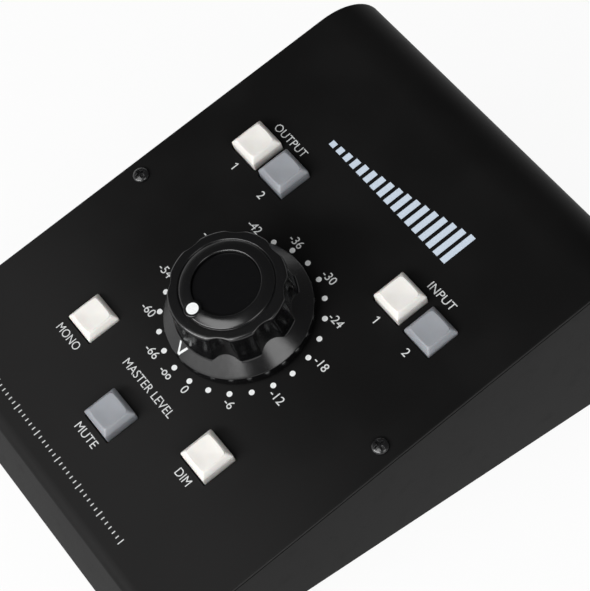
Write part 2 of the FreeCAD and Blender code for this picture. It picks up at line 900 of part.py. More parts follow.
def make_board_screws():
    """Screws from below into the standoffs."""
    screws = []
    for x in standoff_columns:
        for y in standoff_rows:
            screw = pan_screw(board_thickness + standoff_bore_depth - 1)
            screw.rotate(V(0, 0, 0), X_AXIS, 180)
            screw.translate(V(x, y, board_bottom))
            screws.append(on_panel(screw))
    return group(screws)


def make_jacks(columns):
    """6.35 mm jack sockets behind the rear wall, with threaded bushes through it."""
    sockets = []
    for column in columns:
        for row in jack_rows:
            body = block(jack_body_side, jack_body_side, -jack_body_length, 0)
            bush = cylinder(jack_bush_radius, 0, cover_sheet + jack_bush_proud)
            bore = cylinder(jack_bore_radius, 2 - jack_body_length, cover_sheet + jack_bush_proud + 1)
            socket = toward_rear(body.fuse(bush).cut(bore))
            socket.translate(V(column, jack_inner_face, case_bottom + row))
            sockets.append(socket)
    return group(sockets)


def make_jack_nuts():
    """Hexagonal nuts on the jacks' bushes."""
    nuts = []
    for column in jack_columns:
        for row in jack_rows:
            low = jack_washer_thickness
            nut = hexagon(jack_nut_flats, low, low + jack_nut_height)
            nut = toward_rear(nut.cut(cylinder(jack_bush_radius, 0, low + jack_nut_height + 1)))
            nut.translate(V(column, rear_face, case_bottom + row))
            nuts.append(nut)
    return group(nuts)


def make_jack_washers():
    """Washers under the jack nuts."""
    washers = []
    for column in jack_columns:
        for row in jack_rows:
            washer = toward_rear(tube(jack_washer_radius, jack_bush_radius, 0, jack_washer_thickness))
            washer.translate(V(column, rear_face, case_bottom + row))
            washers.append(washer)
    return group(washers)


def jack_board_span():
    """Lowest and highest height of the jack board."""
    reach = jack_body_side / 2 + jack_board_margin
    return case_bottom + jack_rows[0] - reach, case_bottom + jack_rows[-1] + reach


def make_jack_board():
    """Upright board on the jacks' inner ends."""
    low, high = jack_board_span()
    corner = V(-jack_board_half_width, jack_board_face - board_thickness, low)
    return Part.makeBox(2 * jack_board_half_width, board_thickness, high - low, corner)


def ribbon_ends():
    """Where the ribbon leaves its two headers, in the YZ plane."""
    under = panel_frame.multVec(V(0, ribbon_header_row, board_bottom - header_height))
    front = V(0, jack_board_face - board_thickness - header_height, sum(jack_board_span()) / 2)
    return under, front


def make_ribbon_headers():
    """One header under the control board, behind the switch, and one on the jack board's front."""
    width = ribbon_width + 2 * header_overhang
    upper = block(width, header_depth, board_bottom - header_height, board_bottom, 0, ribbon_header_row)
    middle = sum(jack_board_span()) / 2
    corner = V(-width / 2, jack_board_face - board_thickness - header_height, middle - header_depth / 2)
    lower = Part.makeBox(width, header_height, header_depth, corner)
    return group([on_panel(upper), lower])


def make_ribbon_cable():
    """Flat ribbon: down from the control board's header, then back into the jack board's header."""
    start, end = ribbon_ends()
    down = V(0, math.sin(slope), -math.cos(slope))
    reach = (start.z - end.z) / math.cos(slope)
    corner = start + down * reach
    first = (start - corner).normalize()
    second = (end - corner).normalize()
    half_turn = first.getAngle(second) / 2
    setback = ribbon_bend_radius / math.tan(half_turn)
    centre_way = (first + second).normalize()
    centre = corner + centre_way * (ribbon_bend_radius / math.sin(half_turn))
    entry = corner + first * setback
    leave = corner + second * setback
    middle = centre - centre_way * ribbon_bend_radius
    path = Part.Wire([
        Part.LineSegment(start, entry).toShape(),
        Part.Arc(entry, middle, leave).toShape(),
        Part.LineSegment(leave, end).toShape(),
    ])
    across = V(0, math.cos(slope), math.sin(slope)) * (ribbon_thickness / 2)
    width = V(ribbon_width / 2, 0, 0)
    section = Part.makePolygon([
        start - across - width,
        start + across - width,
        start + across + width,
        start - across + width,
        start - across - width,
    ])
    return path.makePipeShell([section], True, True)


def build():
    """Every node's name and shape."""
    nodes = {
        "top_cover": make_top_cover(),
        "base_tray": make_base_tray(),
        "rubber_feet": make_rubber_feet(),
        "foot_screws": make_foot_screws(),
        "foot_nuts": make_foot_nuts(),
        "cover_screws": make_cover_screws(),
        "cover_nuts": make_cover_nuts(),
        "rear_screws": make_rear_screws(),
        "rear_nuts": make_rear_nuts(),
        "knob": make_knob(),
        "knob_pointer_mark": on_panel(pointer_inlay()),
        "knob_index_dot": make_knob_index_dot(),
        "knob_cap_disc": make_knob_cap_disc(),
        "knob_set_screws": make_knob_set_screws(),
        "knob_bush": make_knob_bush(),
        "switch_bush": make_switch_bush(),
        "switch_housing": make_switch_housing(),
        "switch_nut": make_switch_nut(),
        "switch_washer": make_switch_washer(),
        "switch_shaft": make_switch_shaft(),
        "detent_wheel": make_detent_wheel(),
        "detent_ball": make_detent_ball(),
        "detent_spring": make_detent_spring(),
        "wafer_rotors": make_wafer_rotors(),
        "wafer_spacers": make_wafer_spacers(),
        "tie_rods": make_tie_rods(),
        "tie_rod_nuts": make_tie_rod_nuts(),
        "button_housings": make_button_housings(),
        "button_springs": make_button_springs(),
        "control_board": make_control_board(),
        "level_resistors": make_level_resistors(),
        "board_standoffs": make_board_standoffs(),
        "board_screws": make_board_screws(),
        "output_jacks": make_jacks(jack_columns[:2]),
        "input_jacks": make_jacks(jack_columns[2:]),
        "jack_nuts": make_jack_nuts(),
        "jack_washers": make_jack_washers(),
        "jack_board": make_jack_board(),
        "ribbon_headers": make_ribbon_headers(),
        "ribbon_cable": make_ribbon_cable(),
    }
    for k in range(wafer_count):
        nodes[f"wafer_{k + 1}"] = make_wafer(k)
    for name, (column, row, drop) in BUTTONS.items():
        nodes[f"cap_{name}"] = make_cap(column, row, drop)
        nodes[f"plunger_{name}"] = make_plunger(column, row, drop)
    return nodes


os.makedirs("parts", exist_ok=True)
for node, shape in build().items():
    if not shape.isValid():
        print("not valid:", node)
    print(node, len(shape.Solids), "solids", round(shape.Volume, 1), "mm3")
    shape.exportStep(f"parts/{node}.step")
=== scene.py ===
"""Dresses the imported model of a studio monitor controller: matt black folded case, fluted level knob,
square latching buttons, a printed dial and the stage it is seen on.

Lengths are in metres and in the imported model's frame. Pieces on the sloped panel are drawn in the
panel's own frame: X right, Y up the slope and Z out of it, from the knob's axis at the painted face.
"""

import bmesh
import bpy
import json
import math
from mathutils import Matrix, Quaternion, Vector

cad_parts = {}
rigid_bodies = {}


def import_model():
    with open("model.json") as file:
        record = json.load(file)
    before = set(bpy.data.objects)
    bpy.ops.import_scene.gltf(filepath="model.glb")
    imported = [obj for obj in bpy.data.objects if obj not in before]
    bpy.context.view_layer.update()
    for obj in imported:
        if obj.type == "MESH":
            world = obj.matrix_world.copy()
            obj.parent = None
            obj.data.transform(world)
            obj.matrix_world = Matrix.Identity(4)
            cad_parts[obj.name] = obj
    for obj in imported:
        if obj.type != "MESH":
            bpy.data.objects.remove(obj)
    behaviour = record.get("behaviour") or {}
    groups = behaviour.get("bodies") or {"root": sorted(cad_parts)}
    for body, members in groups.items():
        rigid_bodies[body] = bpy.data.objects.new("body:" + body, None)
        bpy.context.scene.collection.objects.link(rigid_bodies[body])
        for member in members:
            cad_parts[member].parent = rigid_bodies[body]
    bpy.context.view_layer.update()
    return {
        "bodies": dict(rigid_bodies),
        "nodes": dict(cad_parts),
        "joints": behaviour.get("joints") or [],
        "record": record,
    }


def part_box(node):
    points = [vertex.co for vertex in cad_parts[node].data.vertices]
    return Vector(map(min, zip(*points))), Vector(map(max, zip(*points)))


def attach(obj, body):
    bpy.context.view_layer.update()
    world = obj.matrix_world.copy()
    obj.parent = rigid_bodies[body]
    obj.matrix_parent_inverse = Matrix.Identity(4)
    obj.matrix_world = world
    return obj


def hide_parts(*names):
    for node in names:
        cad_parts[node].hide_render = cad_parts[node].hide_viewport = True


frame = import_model()

bl_info = {
    "name": "Studio monitor controller",
    "version": (1, 0, 0),
    "blender": (4, 5, 0),
    "location": "3D View > Sidebar > Monitor",
    "description": "Finishes the case, knob, buttons, printing and stage of a desktop monitor controller",
    "category": "Object",
}

MM = 0.001
JOINTS = {joint["name"]: joint for joint in frame["joints"]}
KNOB_FOOT = Vector(JOINTS["knob_turn"]["pos_m"])
KNOB_AXIS = Vector(JOINTS["knob_turn"]["axis"]).normalized()
SLOPE = math.atan2(-KNOB_AXIS.y, KNOB_AXIS.z)
PANEL = Matrix.Translation(KNOB_FOOT) @ Matrix.Rotation(SLOPE, 4, "X")
CASE_LOW, CASE_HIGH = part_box("top_cover")
SHEET_FOLD = 35


# Sizes and colours that a user would change

def length(name, description, value, low=0.0, high=1000.0):
    """A length property, with its value and limits in millimetres."""
    return bpy.props.FloatProperty(
        name=name, description=description, default=value * MM, min=low * MM, max=high * MM, unit="LENGTH",
        precision=5,
    )


def colour(name, description, default):
    """A linear colour property."""
    return bpy.props.FloatVectorProperty(
        name=name, description=description, default=default, size=3, min=0.0, max=1.0, subtype="COLOR"
    )


def share(name, description, default, low=0.0, high=1.0):
    """A plain number property."""
    return bpy.props.FloatProperty(name=name, description=description, default=default, min=low, max=high)


class CaseLook(bpy.types.PropertyGroup):
    paint: colour("Paint", "Colour of the powder coat", (0.0072, 0.0071, 0.0071))
    paint_roughness: share("Paint roughness", "Roughness of the powder coat", 0.46)
    edge: length("Edge softness", "Rounding that the paint gives to the sheet's cut edges", 0.45)
    hole_edge: length("Hole edge", "Rounding round the openings", 0.2)
    seam: length("Seam", "Gap between the cover's edge and the side wall", 0.28)
    grain: length("Grain size", "Size of the powder coat's texture", 0.35, 0.01)


class FixingsLook(bpy.types.PropertyGroup):
    column: length("Column", "Distance of a panel screw from the middle", 65.2)
    row: length("Row", "Distance of the panel screws above the knob's axis", 5.5)
    head_radius: length("Head radius", "Radius of a panel screw's head", 2.9)
    head_height: length("Head height", "Height of a panel screw's head", 1.8)
    shank_radius: length("Shank radius", "Radius of a panel screw's shank", 1.5)
    shank_length: length("Shank length", "Length of a panel screw's shank", 8.0)
    recess_length: length("Recess length", "Length of the cross recess's arms", 3.3)
    recess_width: length("Recess width", "Width of the cross recess's arms", 0.85)
    recess_depth: length("Recess depth", "Depth of the cross recess", 1.0)


class KnobLook(bpy.types.PropertyGroup):
    black: colour("Black", "Colour of the moulded knob", (0.0026, 0.0026, 0.0029))
    roughness: share("Roughness", "Roughness of the knob's polish", 0.21)
    skirt_radius: length("Skirt radius", "Radius of the skirt's rim", 24.8)
    skirt_gap: length("Skirt gap", "Height of the skirt's lower edge over the panel", 1.0)
    rim_height: length("Rim height", "Height of the skirt's rim", 5.8)
    rim_edge: length("Rim edge", "Rounding of the skirt's rim", 0.55)
    body_foot_radius: length("Body foot radius", "Radius where the body leaves the skirt", 20.4)
    body_foot_height: length("Body foot height", "Height where the body leaves the skirt", 9.0)
    body_top_radius: length("Body top radius", "Radius of the body under its rounded top edge", 19.5)
    body_top: length("Body top", "Height of the body's top face", 23.0)
    body_top_edge: length("Body top edge", "Rounding of the body's top edge", 1.2)
    ring_radius: length("Ring radius", "Outer radius of the raised ring", 15.4)
    ring_top: length("Ring top", "Height of the raised ring", 24.3)
    recess_radius: length("Recess radius", "Radius of the round recess", 11.2)
    recess_floor: length("Recess floor", "Height of the recess's floor", 22.3)
    flute_radius: length("Flute radius", "Radius of each finger flute", 6.3)
    flute_depth_radius: length("Flute floor", "Distance from the axis to a flute's floor", 18.3)
    sectors: bpy.props.IntProperty(
        name="Sectors", description="Equal sectors, one of them with no flute", default=8,
    )
    dot_circle: length("Dot circle", "Distance of the white dot from the axis", 13.1)
    dot_seat: length("Dot seat", "Radius of the pad that carries the dot", 2.9)


class ButtonLook(bpy.types.PropertyGroup):
    white: colour("White", "Colour of the white caps", (0.79, 0.77, 0.735))
    grey: colour("Grey", "Colour of the grey caps", (0.276, 0.288, 0.312))
    side: length("Side", "Side of a cap", 12.3)
    shoulder: length("Shoulder", "Height of a cap's shoulder when out", 3.4)
    chamfer_run: length("Chamfer run", "Width of the sloping border", 1.15)
    chamfer_rise: length("Chamfer rise", "Height of the sloping border", 1.9)
    rim_bow: length("Rim bow", "How far the sides of the rim bow out", 0.18)
    rim_corner: length("Rim corner", "Radius of the rim's corners", 1.1)
    depth_below: length("Depth below", "Length of a cap below the panel's face", 5.4)
    dish_reach: length("Dish reach", "Distance from a cap's middle to the hollow's edge", 4.4)
    dish_depth: length("Dish depth", "Depth of the hollow in a cap's top", 0.33)
    dish_square: share("Dish squareness", "2 for a round hollow and more for a squarer one", 4.2, 2.0, 12.0)
    edge: length("Edge", "Rounding of a cap's edges", 0.28)
    corner: length("Corner", "Radius of a cap's upright corners", 0.5)


class PrintLook(bpy.types.PropertyGroup):
    ink: colour("Ink", "Colour of the printed marks", (0.60, 0.61, 0.61))
    pale_ink: colour("Pale ink", "Colour of the level graphic", (0.56, 0.64, 0.74))
    thickness: length("Thickness", "Thickness of the printed ink over the paint", 0.03)
    dial_radius: length("Dial radius", "Radius of the ring of dots", 27.5)
    dot_radius: length("Dot radius", "Radius of a dial dot", 0.96)
    cap_height: length("Letter height", "Height of capitals and digits", 3.0)


class StageLook(bpy.types.PropertyGroup):
    floor: colour("Floor", "Colour of the plain floor", (0.86, 0.86, 0.855))
    floor_white: share("Floor white", "Share of plain white in what the camera sees of the floor", 0.93)
    floor_radius: length("Floor radius", "Radius of the flat part of the floor", 2400.0, 500.0, 20000.0)
    sweep_radius: length("Sweep radius", "Radius of the curve at the floor's edge", 1600.0, 100.0, 20000.0)
    camera_place: bpy.props.FloatVectorProperty(
        name="Camera place", description="Where the camera stands", default=(0.26552, -0.23174, 0.53891),
        subtype="TRANSLATION", unit="LENGTH", precision=5,
    )
    camera_turn: bpy.props.FloatVectorProperty(
        name="Camera turn", description="The camera's turn about X, Y and Z",
        default=(math.radians(35.8064), math.radians(-3.2517), math.radians(53.0153)), subtype="EULER",
    )
    lens: share("Lens", "Focal length in millimetres on a 36 mm sensor", 111.34, 10.0, 300.0)
    world_light: share("World light", "Strength of the even light from all round", 0.10, 0.0, 5.0)
    fill_power: share("Fill power", "Watts of the large lamp above the front", 12.0, 0.0, 500.0)
    key_power: share("Key power", "Watts of the lamp on the right", 4.9, 0.0, 500.0)
    front_power: share("Front power", "Watts of the long lamp in front", 21.5, 0.0, 500.0)


# Shader maths

class Field:
    """A socket of a material's nodes; Python arithmetic on it adds Math nodes."""

    def __init__(self, finish, socket):
        self.finish = finish
        self.socket = socket

    def maths(self, operation, *values):
        return self.finish.add("ShaderNodeMath", {"operation": operation}, dict(enumerate(values)))

    def __add__(self, other):
        return self.maths("ADD", self, other)

    __radd__ = __add__

    def __sub__(self, other):
        return self.maths("SUBTRACT", self, other)

    def __rsub__(self, other):
        return self.maths("SUBTRACT", other, self)

    def __mul__(self, other):
        return self.maths("MULTIPLY", self, other)

    def at_least(self, other):
        return self.maths("MAXIMUM", self, other)

    def step(self, low, high):
        """0 below low, 1 above high and smooth between."""
        ranged = {0: self, 1: low, 2: high, 3: 0.0, 4: 1.0}
        return self.finish.add("ShaderNodeMapRange", {"interpolation_type": "SMOOTHSTEP"}, ranged)


class Finish:
    """A material under construction: one method adds any node, the others what the finishes share."""

    def __init__(self, name, constants):
        self.material = bpy.data.materials.new(name)
        self.material.use_nodes = True
        self.tree = self.material.node_tree
        self.tree.nodes.clear()
        self.output = self.tree.nodes.new("ShaderNodeOutputMaterial")
        self.shader = self.tree.nodes.new("ShaderNodeBsdfPrincipled")
        self.tree.links.new(self.shader.outputs[0], self.output.inputs["Surface"])
        for socket, value in constants.items():
            self.shader.inputs[socket].default_value = value
        self.place = self.add("ShaderNodeTexCoord", {}, {}, "Object")

    def add(self, kind, settings, values, result=0):
        """Adds a node with its settings and the values or links of its sockets, and gives one output."""
        node = self.tree.nodes.new(kind)
        for key, value in settings.items():
            setattr(node, key, value)
        for key, value in values.items():
            if isinstance(value, Field):
                self.tree.links.new(value.socket, node.inputs[key])
            else:
                node.inputs[key].default_value = value
        return Field(self, node.outputs[result])

    def noise(self, size, detail, roughness):
        """Noise from 0 to 1 whose lumps are about size across."""
        values = {"Vector": self.place, "Scale": 1.0 / size, "Detail": detail, "Roughness": roughness}
        return self.add("ShaderNodeTexNoise", {}, values)

    def dot(self, way):
        """Distance of a place along a direction."""
        values = {0: self.place, 1: tuple(way)}
        return self.add("ShaderNodeVectorMath", {"operation": "DOT_PRODUCT"}, values, "Value")

    def stripes(self, scale, distortion, detail):
        """Bands from 0 to 1 across X."""
        settings = {"wave_type": "BANDS", "bands_direction": "X", "wave_profile": "SIN"}
        values = {"Vector": self.place, "Scale": scale, "Distortion": distortion, "Detail": detail}
        return self.add("ShaderNodeTexWave", settings, values)

    def blend(self, factor, first, second):
        """Colour between first and second; 6 and 7 are the mix's inputs for colours and 2 is its output."""
        values = {0: factor}
        for key, value in ((6, first), (7, second)):
            values[key] = value if isinstance(value, Field) else (*value, 1.0)
        return self.add("ShaderNodeMix", {"data_type": "RGBA", "clamp_factor": True}, values, 2)

    def feed(self, colour, roughness, relief, depth, strength):
        """Links colour, roughness and a relief of a given depth to the shader, and gives the material."""
        normal = self.add("ShaderNodeBump", {}, {"Strength": strength, "Distance": depth, "Height": relief})
        for socket, value in (("Base Color", colour), ("Roughness", roughness), ("Normal", normal)):
            self.tree.links.new(value.socket, self.shader.inputs[socket])
        return self.material


def shade(base, factor):
    """A colour made lighter or darker."""
    return tuple(min(1.0, channel * factor) for channel in base)


# Materials

def powder_coat(name, paint, roughness, grain):
    """Matt powder coat: a fine even texture, slow changes of gloss, and painted light on the panel's front
    part.
    """
    coat = Finish(name, {"Specular IOR Level": 0.03})
    fine = coat.noise(grain, detail=3.0, roughness=0.55)
    slow = coat.noise(0.035, detail=2.0, roughness=0.5)
    handled = coat.noise(0.009, detail=4.0, roughness=0.65).step(0.52, 0.72)
    off_plane = coat.dot(KNOB_AXIS) - KNOB_FOOT.dot(KNOB_AXIS)
    on_panel = off_plane.step(-3.0 * MM, -0.5 * MM)
    # Painted light: towards the panel's front the colour is painted up to 2.3 times lighter, standing in for
    # the lamps' broad reflection there.
    painted_light_full_y, clear = CASE_LOW.y + 20 * MM, KNOB_FOOT.y + 15 * MM
    behind = coat.dot((0.0, 1.0, 0.0)).step(painted_light_full_y, clear)
    painted_front_light = (1.0 - behind) * on_panel * (0.85 + slow * 0.3)
    even = coat.blend(slow.step(0.35, 0.65), shade(paint, 0.9), shade(paint, 1.15))
    rough = roughness + (slow - 0.5) * 0.06 + handled * 0.03 + (fine - 0.5) * 0.10
    return coat.feed(coat.blend(painted_front_light, even, shade(paint, 2.3)), rough, fine, depth=0.000012, strength=0.55)


def polished_moulding(name, base, roughness, gloss=0.64):
    """Polished black moulding: faint sink ripples, fine wiping marks and a little dust."""
    moulding = Finish(name, {"IOR": 1.5, "Specular IOR Level": gloss})
    ripple = moulding.noise(0.009, detail=0.0, roughness=0.4)
    wiping = moulding.noise(0.0015, detail=2.0, roughness=0.5)
    dust = moulding.noise(0.00045, detail=1.0, roughness=0.5).step(0.74, 0.80)
    dusty = moulding.blend(dust * 0.15, base, shade(base, 4.0))
    rough = roughness + (wiping - 0.5) * 0.06 + dust * 0.15
    return moulding.feed(dusty, rough, ripple, depth=0.00002, strength=0.4)


def cap_plastic(name, base, roughness):
    """Moulded key cap: slight clouding of the colour, a fine spark-eroded skin and worn gloss in patches."""
    cap = Finish(name, {"IOR": 1.49, "Subsurface Weight": 0.08, "Subsurface Scale": 0.002})
    cloud = cap.noise(0.011, detail=2.0, roughness=0.5).step(0.3, 0.7)
    skin = cap.noise(0.00016, detail=2.0, roughness=0.6)
    worn = cap.noise(0.004, detail=3.0, roughness=0.6).step(0.45, 0.65)
    rough = roughness + (skin - 0.5) * 0.12 - worn * 0.06
    clouded = cap.blend(cloud, shade(base, 0.965), shade(base, 1.02))
    return cap.feed(clouded, rough, skin, depth=0.000006, strength=0.5)


def printed_ink(name, base):
    """Screen-printed ink: slightly uneven cover and a matt edge."""
    ink = Finish(name, {"Specular IOR Level": 0.4})
    cover = ink.noise(0.0005, detail=3.0, roughness=0.6)
    covered = ink.blend(cover.step(0.25, 0.6), shade(base, 0.88), base)
    return ink.feed(covered, 0.5 + (cover - 0.5) * 0.2, cover, depth=0.000008, strength=0.4)


def plated_metal(name, base, roughness):
    """Plated or turned metal: a fine grain and duller patches."""
    metal = Finish(name, {"Metallic": 1.0})
    grain = metal.noise(0.0004, detail=3.0, roughness=0.6)
    patches = metal.noise(0.004, detail=3.0, roughness=0.6)
    dulled = metal.blend(patches.step(0.35, 0.7), shade(base, 0.85), shade(base, 1.05))
    rough = roughness + (grain - 0.5) * 0.18 + (patches - 0.5) * 0.08
    return metal.feed(dulled, rough, grain, depth=0.00001, strength=0.4)


def plain_moulding(name, base, roughness):
    """Moulded plastic, resin or rubber with a fine skin and a little clouding."""
    moulding = Finish(name, {"Specular IOR Level": 0.4})
    skin = moulding.noise(0.0004, detail=3.0, roughness=0.6)
    cloud = moulding.noise(0.006, detail=3.0, roughness=0.6)
    clouded = moulding.blend(cloud.step(0.3, 0.7), shade(base, 0.85), shade(base, 1.12))
    rough = roughness + (skin - 0.5) * 0.15 + (cloud - 0.5) * 0.08
    return moulding.feed(clouded, rough, skin, depth=0.000015, strength=0.5)


def board_resist(name, base):
    """Solder resist over glass cloth: a faint square weave and darker tracks."""
    board = Finish(name, {"Specular IOR Level": 0.5})
    weave = board.stripes(1200.0, distortion=0.4, detail=1.0)
    tracks = board.noise(0.003, detail=1.0, roughness=0.3).step(0.50, 0.53)
    tracked = board.blend(tracks, base, shade(base, 0.6))
    return board.feed(tracked, 0.35 + weave * 0.08, weave, depth=0.000006, strength=0.4)


def ribbon_vinyl(name, base):
    """Flat cable: one ridge for each of its wires, and painted shade in the grooves between them."""
    ribbon = Finish(name, {"Specular IOR Level": 0.4})
    ridges = ribbon.stripes(250.0, distortion=0.0, detail=2.0)
    # Painted shade: the colour is a quarter darker in the grooves, where the ridges are low.
    ridges_with_painted_shade = ribbon.blend(ridges, shade(base, 0.75), base)
    return ribbon.feed(ridges_with_painted_shade, 0.45 + ridges * 0.05, ridges, depth=0.0001, strength=0.6)


# Mesh helpers

def add_object(name, data):
    """A new object in the scene."""
    item = bpy.data.objects.new(name, data)
    bpy.context.scene.collection.objects.link(item)
    return item


def add_mesh(name, bm, material):
    """A new mesh object with one material, made from a bmesh."""
    mesh = bpy.data.meshes.new(name)
    bm.to_mesh(mesh)
    bm.free()
    mesh.materials.append(material)
    return add_object(name, mesh)


def finish_piece(name, bm, body, material, matrix=None, smooth=True, smooth_to=None):
    """Makes a piece's object from a bmesh, with outward faces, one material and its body.

    Edges that turn by more than smooth_to degrees stay sharp.
    """
    bmesh.ops.remove_doubles(bm, verts=bm.verts, dist=1e-7)
    bmesh.ops.recalc_face_normals(bm, faces=bm.faces)
    if matrix is not None:
        bmesh.ops.transform(bm, matrix=matrix, verts=bm.verts)
    for face in bm.faces:
        face.smooth = smooth
    if smooth_to is not None:
        limit = math.radians(smooth_to)
        for edge in bm.edges:
            edge.smooth = len(edge.link_faces) == 2 and edge.calc_face_angle(0.0) < limit
    piece = add_mesh(name, bm, material)
    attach(piece, body)
    return piece


def weigh_normals(mesh):
    """Corner normals that lean to the larger faces, so that sheet looks flat beside its rounded edges."""
    around = [[] for vertex in mesh.vertices]
    for face in mesh.polygons:
        for index in face.vertices:
            around[index].append(face)
    least = math.cos(math.radians(SHEET_FOLD))
    normals = [None] * len(mesh.loops)
    for face in mesh.polygons:
        for corner in face.loop_indices:
            total = Vector()
            for other in around[mesh.loops[corner].vertex_index]:
                if other.normal.dot(face.normal) > least:
                    total += other.normal * other.area
            normals[corner] = total.normalized()
    mesh.normals_split_custom_set(normals)


def circle(radius, height, count, middle=(0.0, 0.0)):
    """Places round a circle at one height."""
    x, y = middle
    turns = [2 * math.pi * k / count for k in range(count)]
    return [(x + radius * math.cos(turn), y + radius * math.sin(turn), height) for turn in turns]


def line(start, end, steps):
    """Points of a section on the way from start to end, without the start."""
    shares = [k / steps for k in range(1, steps + 1)]
    return [tuple(a + (b - a) * share for a, b in zip(start, end)) for share in shares]


def arc(centre, radius, start, end, steps, first=0):
    """Points of a section round a centre from one angle in degrees to another."""
    x, y = centre
    turns = [math.radians(start + (end - start) * k / steps) for k in range(first, steps + 1)]
    return [(x + radius * math.cos(turn), y + radius * math.sin(turn)) for turn in turns]


def skin_rings(rings, bm=None, close_end=True):
    """A closed skin: each ring of points is extruded from the ring before it and moved to its places."""
    bm = bm or bmesh.new()
    ring = list(bmesh.ops.create_circle(bm, cap_ends=True, segments=len(rings[0]), radius=1.0)["verts"])
    for vert, place in zip(ring, rings[0]):
        vert.co = place
    members = set(ring)
    edges = [edge for edge in bm.edges if edge.verts[0] in members]
    for places in rings[1:]:
        grown = bmesh.ops.extrude_edge_only(bm, edges=edges)["geom"]
        fresh = {item for item in grown if isinstance(item, bmesh.types.BMVert)}
        ring = [
            next(edge.other_vert(vert) for edge in vert.link_edges if edge.other_vert(vert) in fresh)
            for vert in ring
        ]
        for vert, place in zip(ring, places):
            vert.co = place
        grown_edges = [item for item in grown if isinstance(item, bmesh.types.BMEdge)]
        edges = [edge for edge in grown_edges if set(edge.verts) <= fresh]
    if close_end:
        bmesh.ops.contextual_create(bm, geom=edges)
    return bm


def soft_copy(node, edge_width, pick):
    """A copy of a CAD node whose picked sharp edges are rounded as paint rounds them."""
    flat, sharp = math.radians(0.4), math.radians(28)
    bm = bmesh.new()
    bm.from_mesh(frame["nodes"][node].data)
    bmesh.ops.remove_doubles(bm, verts=bm.verts, dist=1e-6)
    bmesh.ops.dissolve_limit(bm, angle_limit=flat, verts=bm.verts, edges=bm.edges, delimit={"NORMAL"})
    folds = [edge for edge in bm.edges if len(edge.link_faces) == 2 and edge.calc_face_angle(0.0) > sharp]
    bmesh.ops.bevel(
        bm, geom=[edge for edge in folds if pick(edge)], offset=edge_width, offset_type="OFFSET",
        affect="EDGES", segments=3, profile=0.5, material=-1, clamp_overlap=True,
    )
    return bm


def repaint(material, *nodes):
    """Gives CAD nodes a material."""
    for node in nodes:
        item = frame["nodes"][node]
        item.data.materials.clear()
        item.data.materials.append(material)


def soft_step(low, high, value):
    """0 below low, 1 above high and smooth between."""
    t = min(max((value - low) / (high - low), 0.0), 1.0)
    return t * t * (3 - 2 * t)


def soft_least(a, b, reach):
    """The smaller of two numbers, rounded off where they are within reach of each other."""
    near = max(reach - abs(a - b), 0.0) / reach
    return min(a, b) - near * near * reach / 4


# Operators, one for each piece or group of like pieces

class MONITOR_OT_case(bpy.types.Operator):
    """Paints the folded cover and the tray, with softened edges"""
    bl_idname = "monitor.case"
    bl_label = "Case"

    def execute(self, context):
        look = context.scene.monitor_case
        paint = powder_coat("black_case_paint", look.paint, look.paint_roughness, look.grain)
        on_face = 0.4 * MM

        def on_side(edge):
            return all(abs(abs(vert.co.x) - CASE_HIGH.x) < on_face for vert in edge.verts)

        cover = soft_copy("top_cover", look.edge, on_side)
        tray = soft_copy("base_tray", look.hole_edge, lambda edge: not on_side(edge))
        self.open_seam(tray, look.seam)
        for name, node, bm in (("folded_cover", "top_cover", cover), ("tray_and_sides", "base_tray", tray)):
            piece = finish_piece(name, bm, "case", paint, smooth_to=SHEET_FOLD)
            weigh_normals(piece.data)
            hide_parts(node)
        return {"FINISHED"}

    def open_seam(self, bm, width):
        """Draws the side walls' outline in, so that a thin dark line shows under the cover's edge."""
        near = 0.00002
        wall = 1.6 * MM
        foot = CASE_LOW.z + 0.5 * MM

        def place(vert):
            return round(vert.co.y / near), round(vert.co.z / near)

        for side in (-1, 1):
            face_x = side * CASE_HIGH.x
            flat = {face for face in bm.faces if all(abs(vert.co.x - face_x) < near for vert in face.verts)}
            rim = [edge for edge in bm.edges if len(flat.intersection(edge.link_faces)) == 1]
            rim = [edge for edge in rim if max(vert.co.z for vert in edge.verts) > foot]
            middle = sum((vert.co for edge in rim for vert in edge.verts), Vector()) / (2 * len(rim))
            shifts = {}
            for edge in rim:
                a, b = edge.verts
                inward = Vector((0.0, a.co.z - b.co.z, b.co.y - a.co.y)).normalized()
                if inward.dot(middle - a.co) < 0:
                    inward = -inward
                for vert in edge.verts:
                    shifts.setdefault(place(vert), []).append(inward)
            for vert in bm.verts:
                ways = shifts.get(place(vert))
                if ways and abs(vert.co.x - face_x) < wall:
                    mean = sum(ways, Vector()) / len(ways)
                    vert.co += mean / max(mean.length_squared, 0.5) * width


